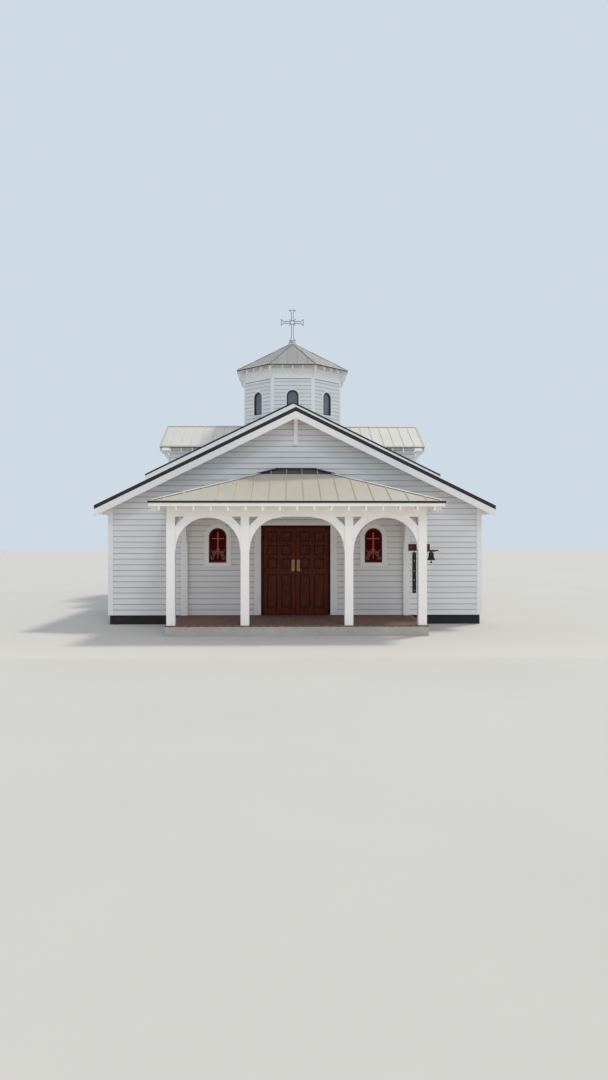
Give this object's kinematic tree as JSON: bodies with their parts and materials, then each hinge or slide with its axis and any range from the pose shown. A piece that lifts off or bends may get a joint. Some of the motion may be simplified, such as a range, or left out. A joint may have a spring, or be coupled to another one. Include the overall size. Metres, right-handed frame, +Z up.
{
  "type": "small clapboard church with an octagonal lantern",
  "caption": "White clapboard church with cross gables, octagonal lantern, steel cross, arched windows, hipped arcaded porch and panelled double doors that swing inwards.",
  "frame": {"origin": "on the ground, under the middle of the building's rectangle in plan", "axes": "+Z up, the entrance faces -Y, +X is to the right seen from the front"},
  "size_m": [10.78, 21.06, 12.176],
  "materials": {
    "concrete": "dark concrete",
    "floor": "trowelled",
    "brick_paving": "fired brick",
    "siding": "painted white",
    "trim": "painted white",
    "roof_metal": "light taupe, satin",
    "cross_steel": "dull",
    "window_frame": "black",
    "window_glass": "dark, glossy",
    "red_glass": "dark red",
    "door_wood": "dark red stain",
    "brass": "aged",
    "bar_wood": "oiled",
    "black_iron": "black"
  },
  "bodies": {
    "building": {"foundation": "concrete", "floor_slab": "floor", "porch_floor": "brick_paving", "front_wall_left": "siding", "front_wall_right": "siding", "front_gable": "siding", "side_wall_left": "siding", "side_wall_right": "siding", "nave_wall_left": "siding", "nave_wall_right": "siding", "nave_front_gable": "siding", "rear_wall": "siding", "transept_cheeks": "siding", "front_roof_left": "roof_metal", "front_roof_right": "roof_metal", "nave_roof_left": "roof_metal", "nave_roof_right": "roof_metal", "transept_roof_front": "roof_metal", "transept_roof_rear": "roof_metal", "bargeboards": "trim", "eave_rafter_tails": "trim", "gable_brackets": "trim", "corner_boards": "trim", "lantern_walls_square": "siding", "lantern_walls_diagonal": "siding", "lantern_trim": "trim", "lantern_roof": "roof_metal", "lantern_rafter_tails": "trim", "lantern_cap": "roof_metal", "cross": "cross_steel", "window_frames": "window_frame", "window_glass": "window_glass", "front_window_panes": "red_glass", "window_casings": "trim", "door_frame": "door_wood", "door_casing": "trim", "jamb_hinges": "brass", "porch_posts": "trim", "porch_beams": "trim", "porch_braces": "trim", "porch_roof_front": "roof_metal", "porch_roof_sides": "roof_metal", "porch_fascia": "trim", "porch_rafters": "trim", "bell_bar": "bar_wood", "bell": "black_iron", "semantron": "black_iron"},
    "door_left": {"door_leaf_left": "door_wood", "door_fittings_left": "brass"},
    "door_right": {"door_leaf_right": "door_wood", "door_fittings_right": "brass"}
  },
  "joints": [
    {"name": "left_leaf_hinge", "type": "hinge", "parent": "building", "child": "door_left", "pos_m": [-0.894, -7.294, 0.26], "axis": [0, 0, 1], "range_deg": [0, 90]},
    {"name": "right_leaf_hinge", "type": "hinge", "parent": "building", "child": "door_right", "pos_m": [0.894, -7.294, 0.26], "axis": [0, 0, -1], "range_deg": [0, 90]}
  ]
}
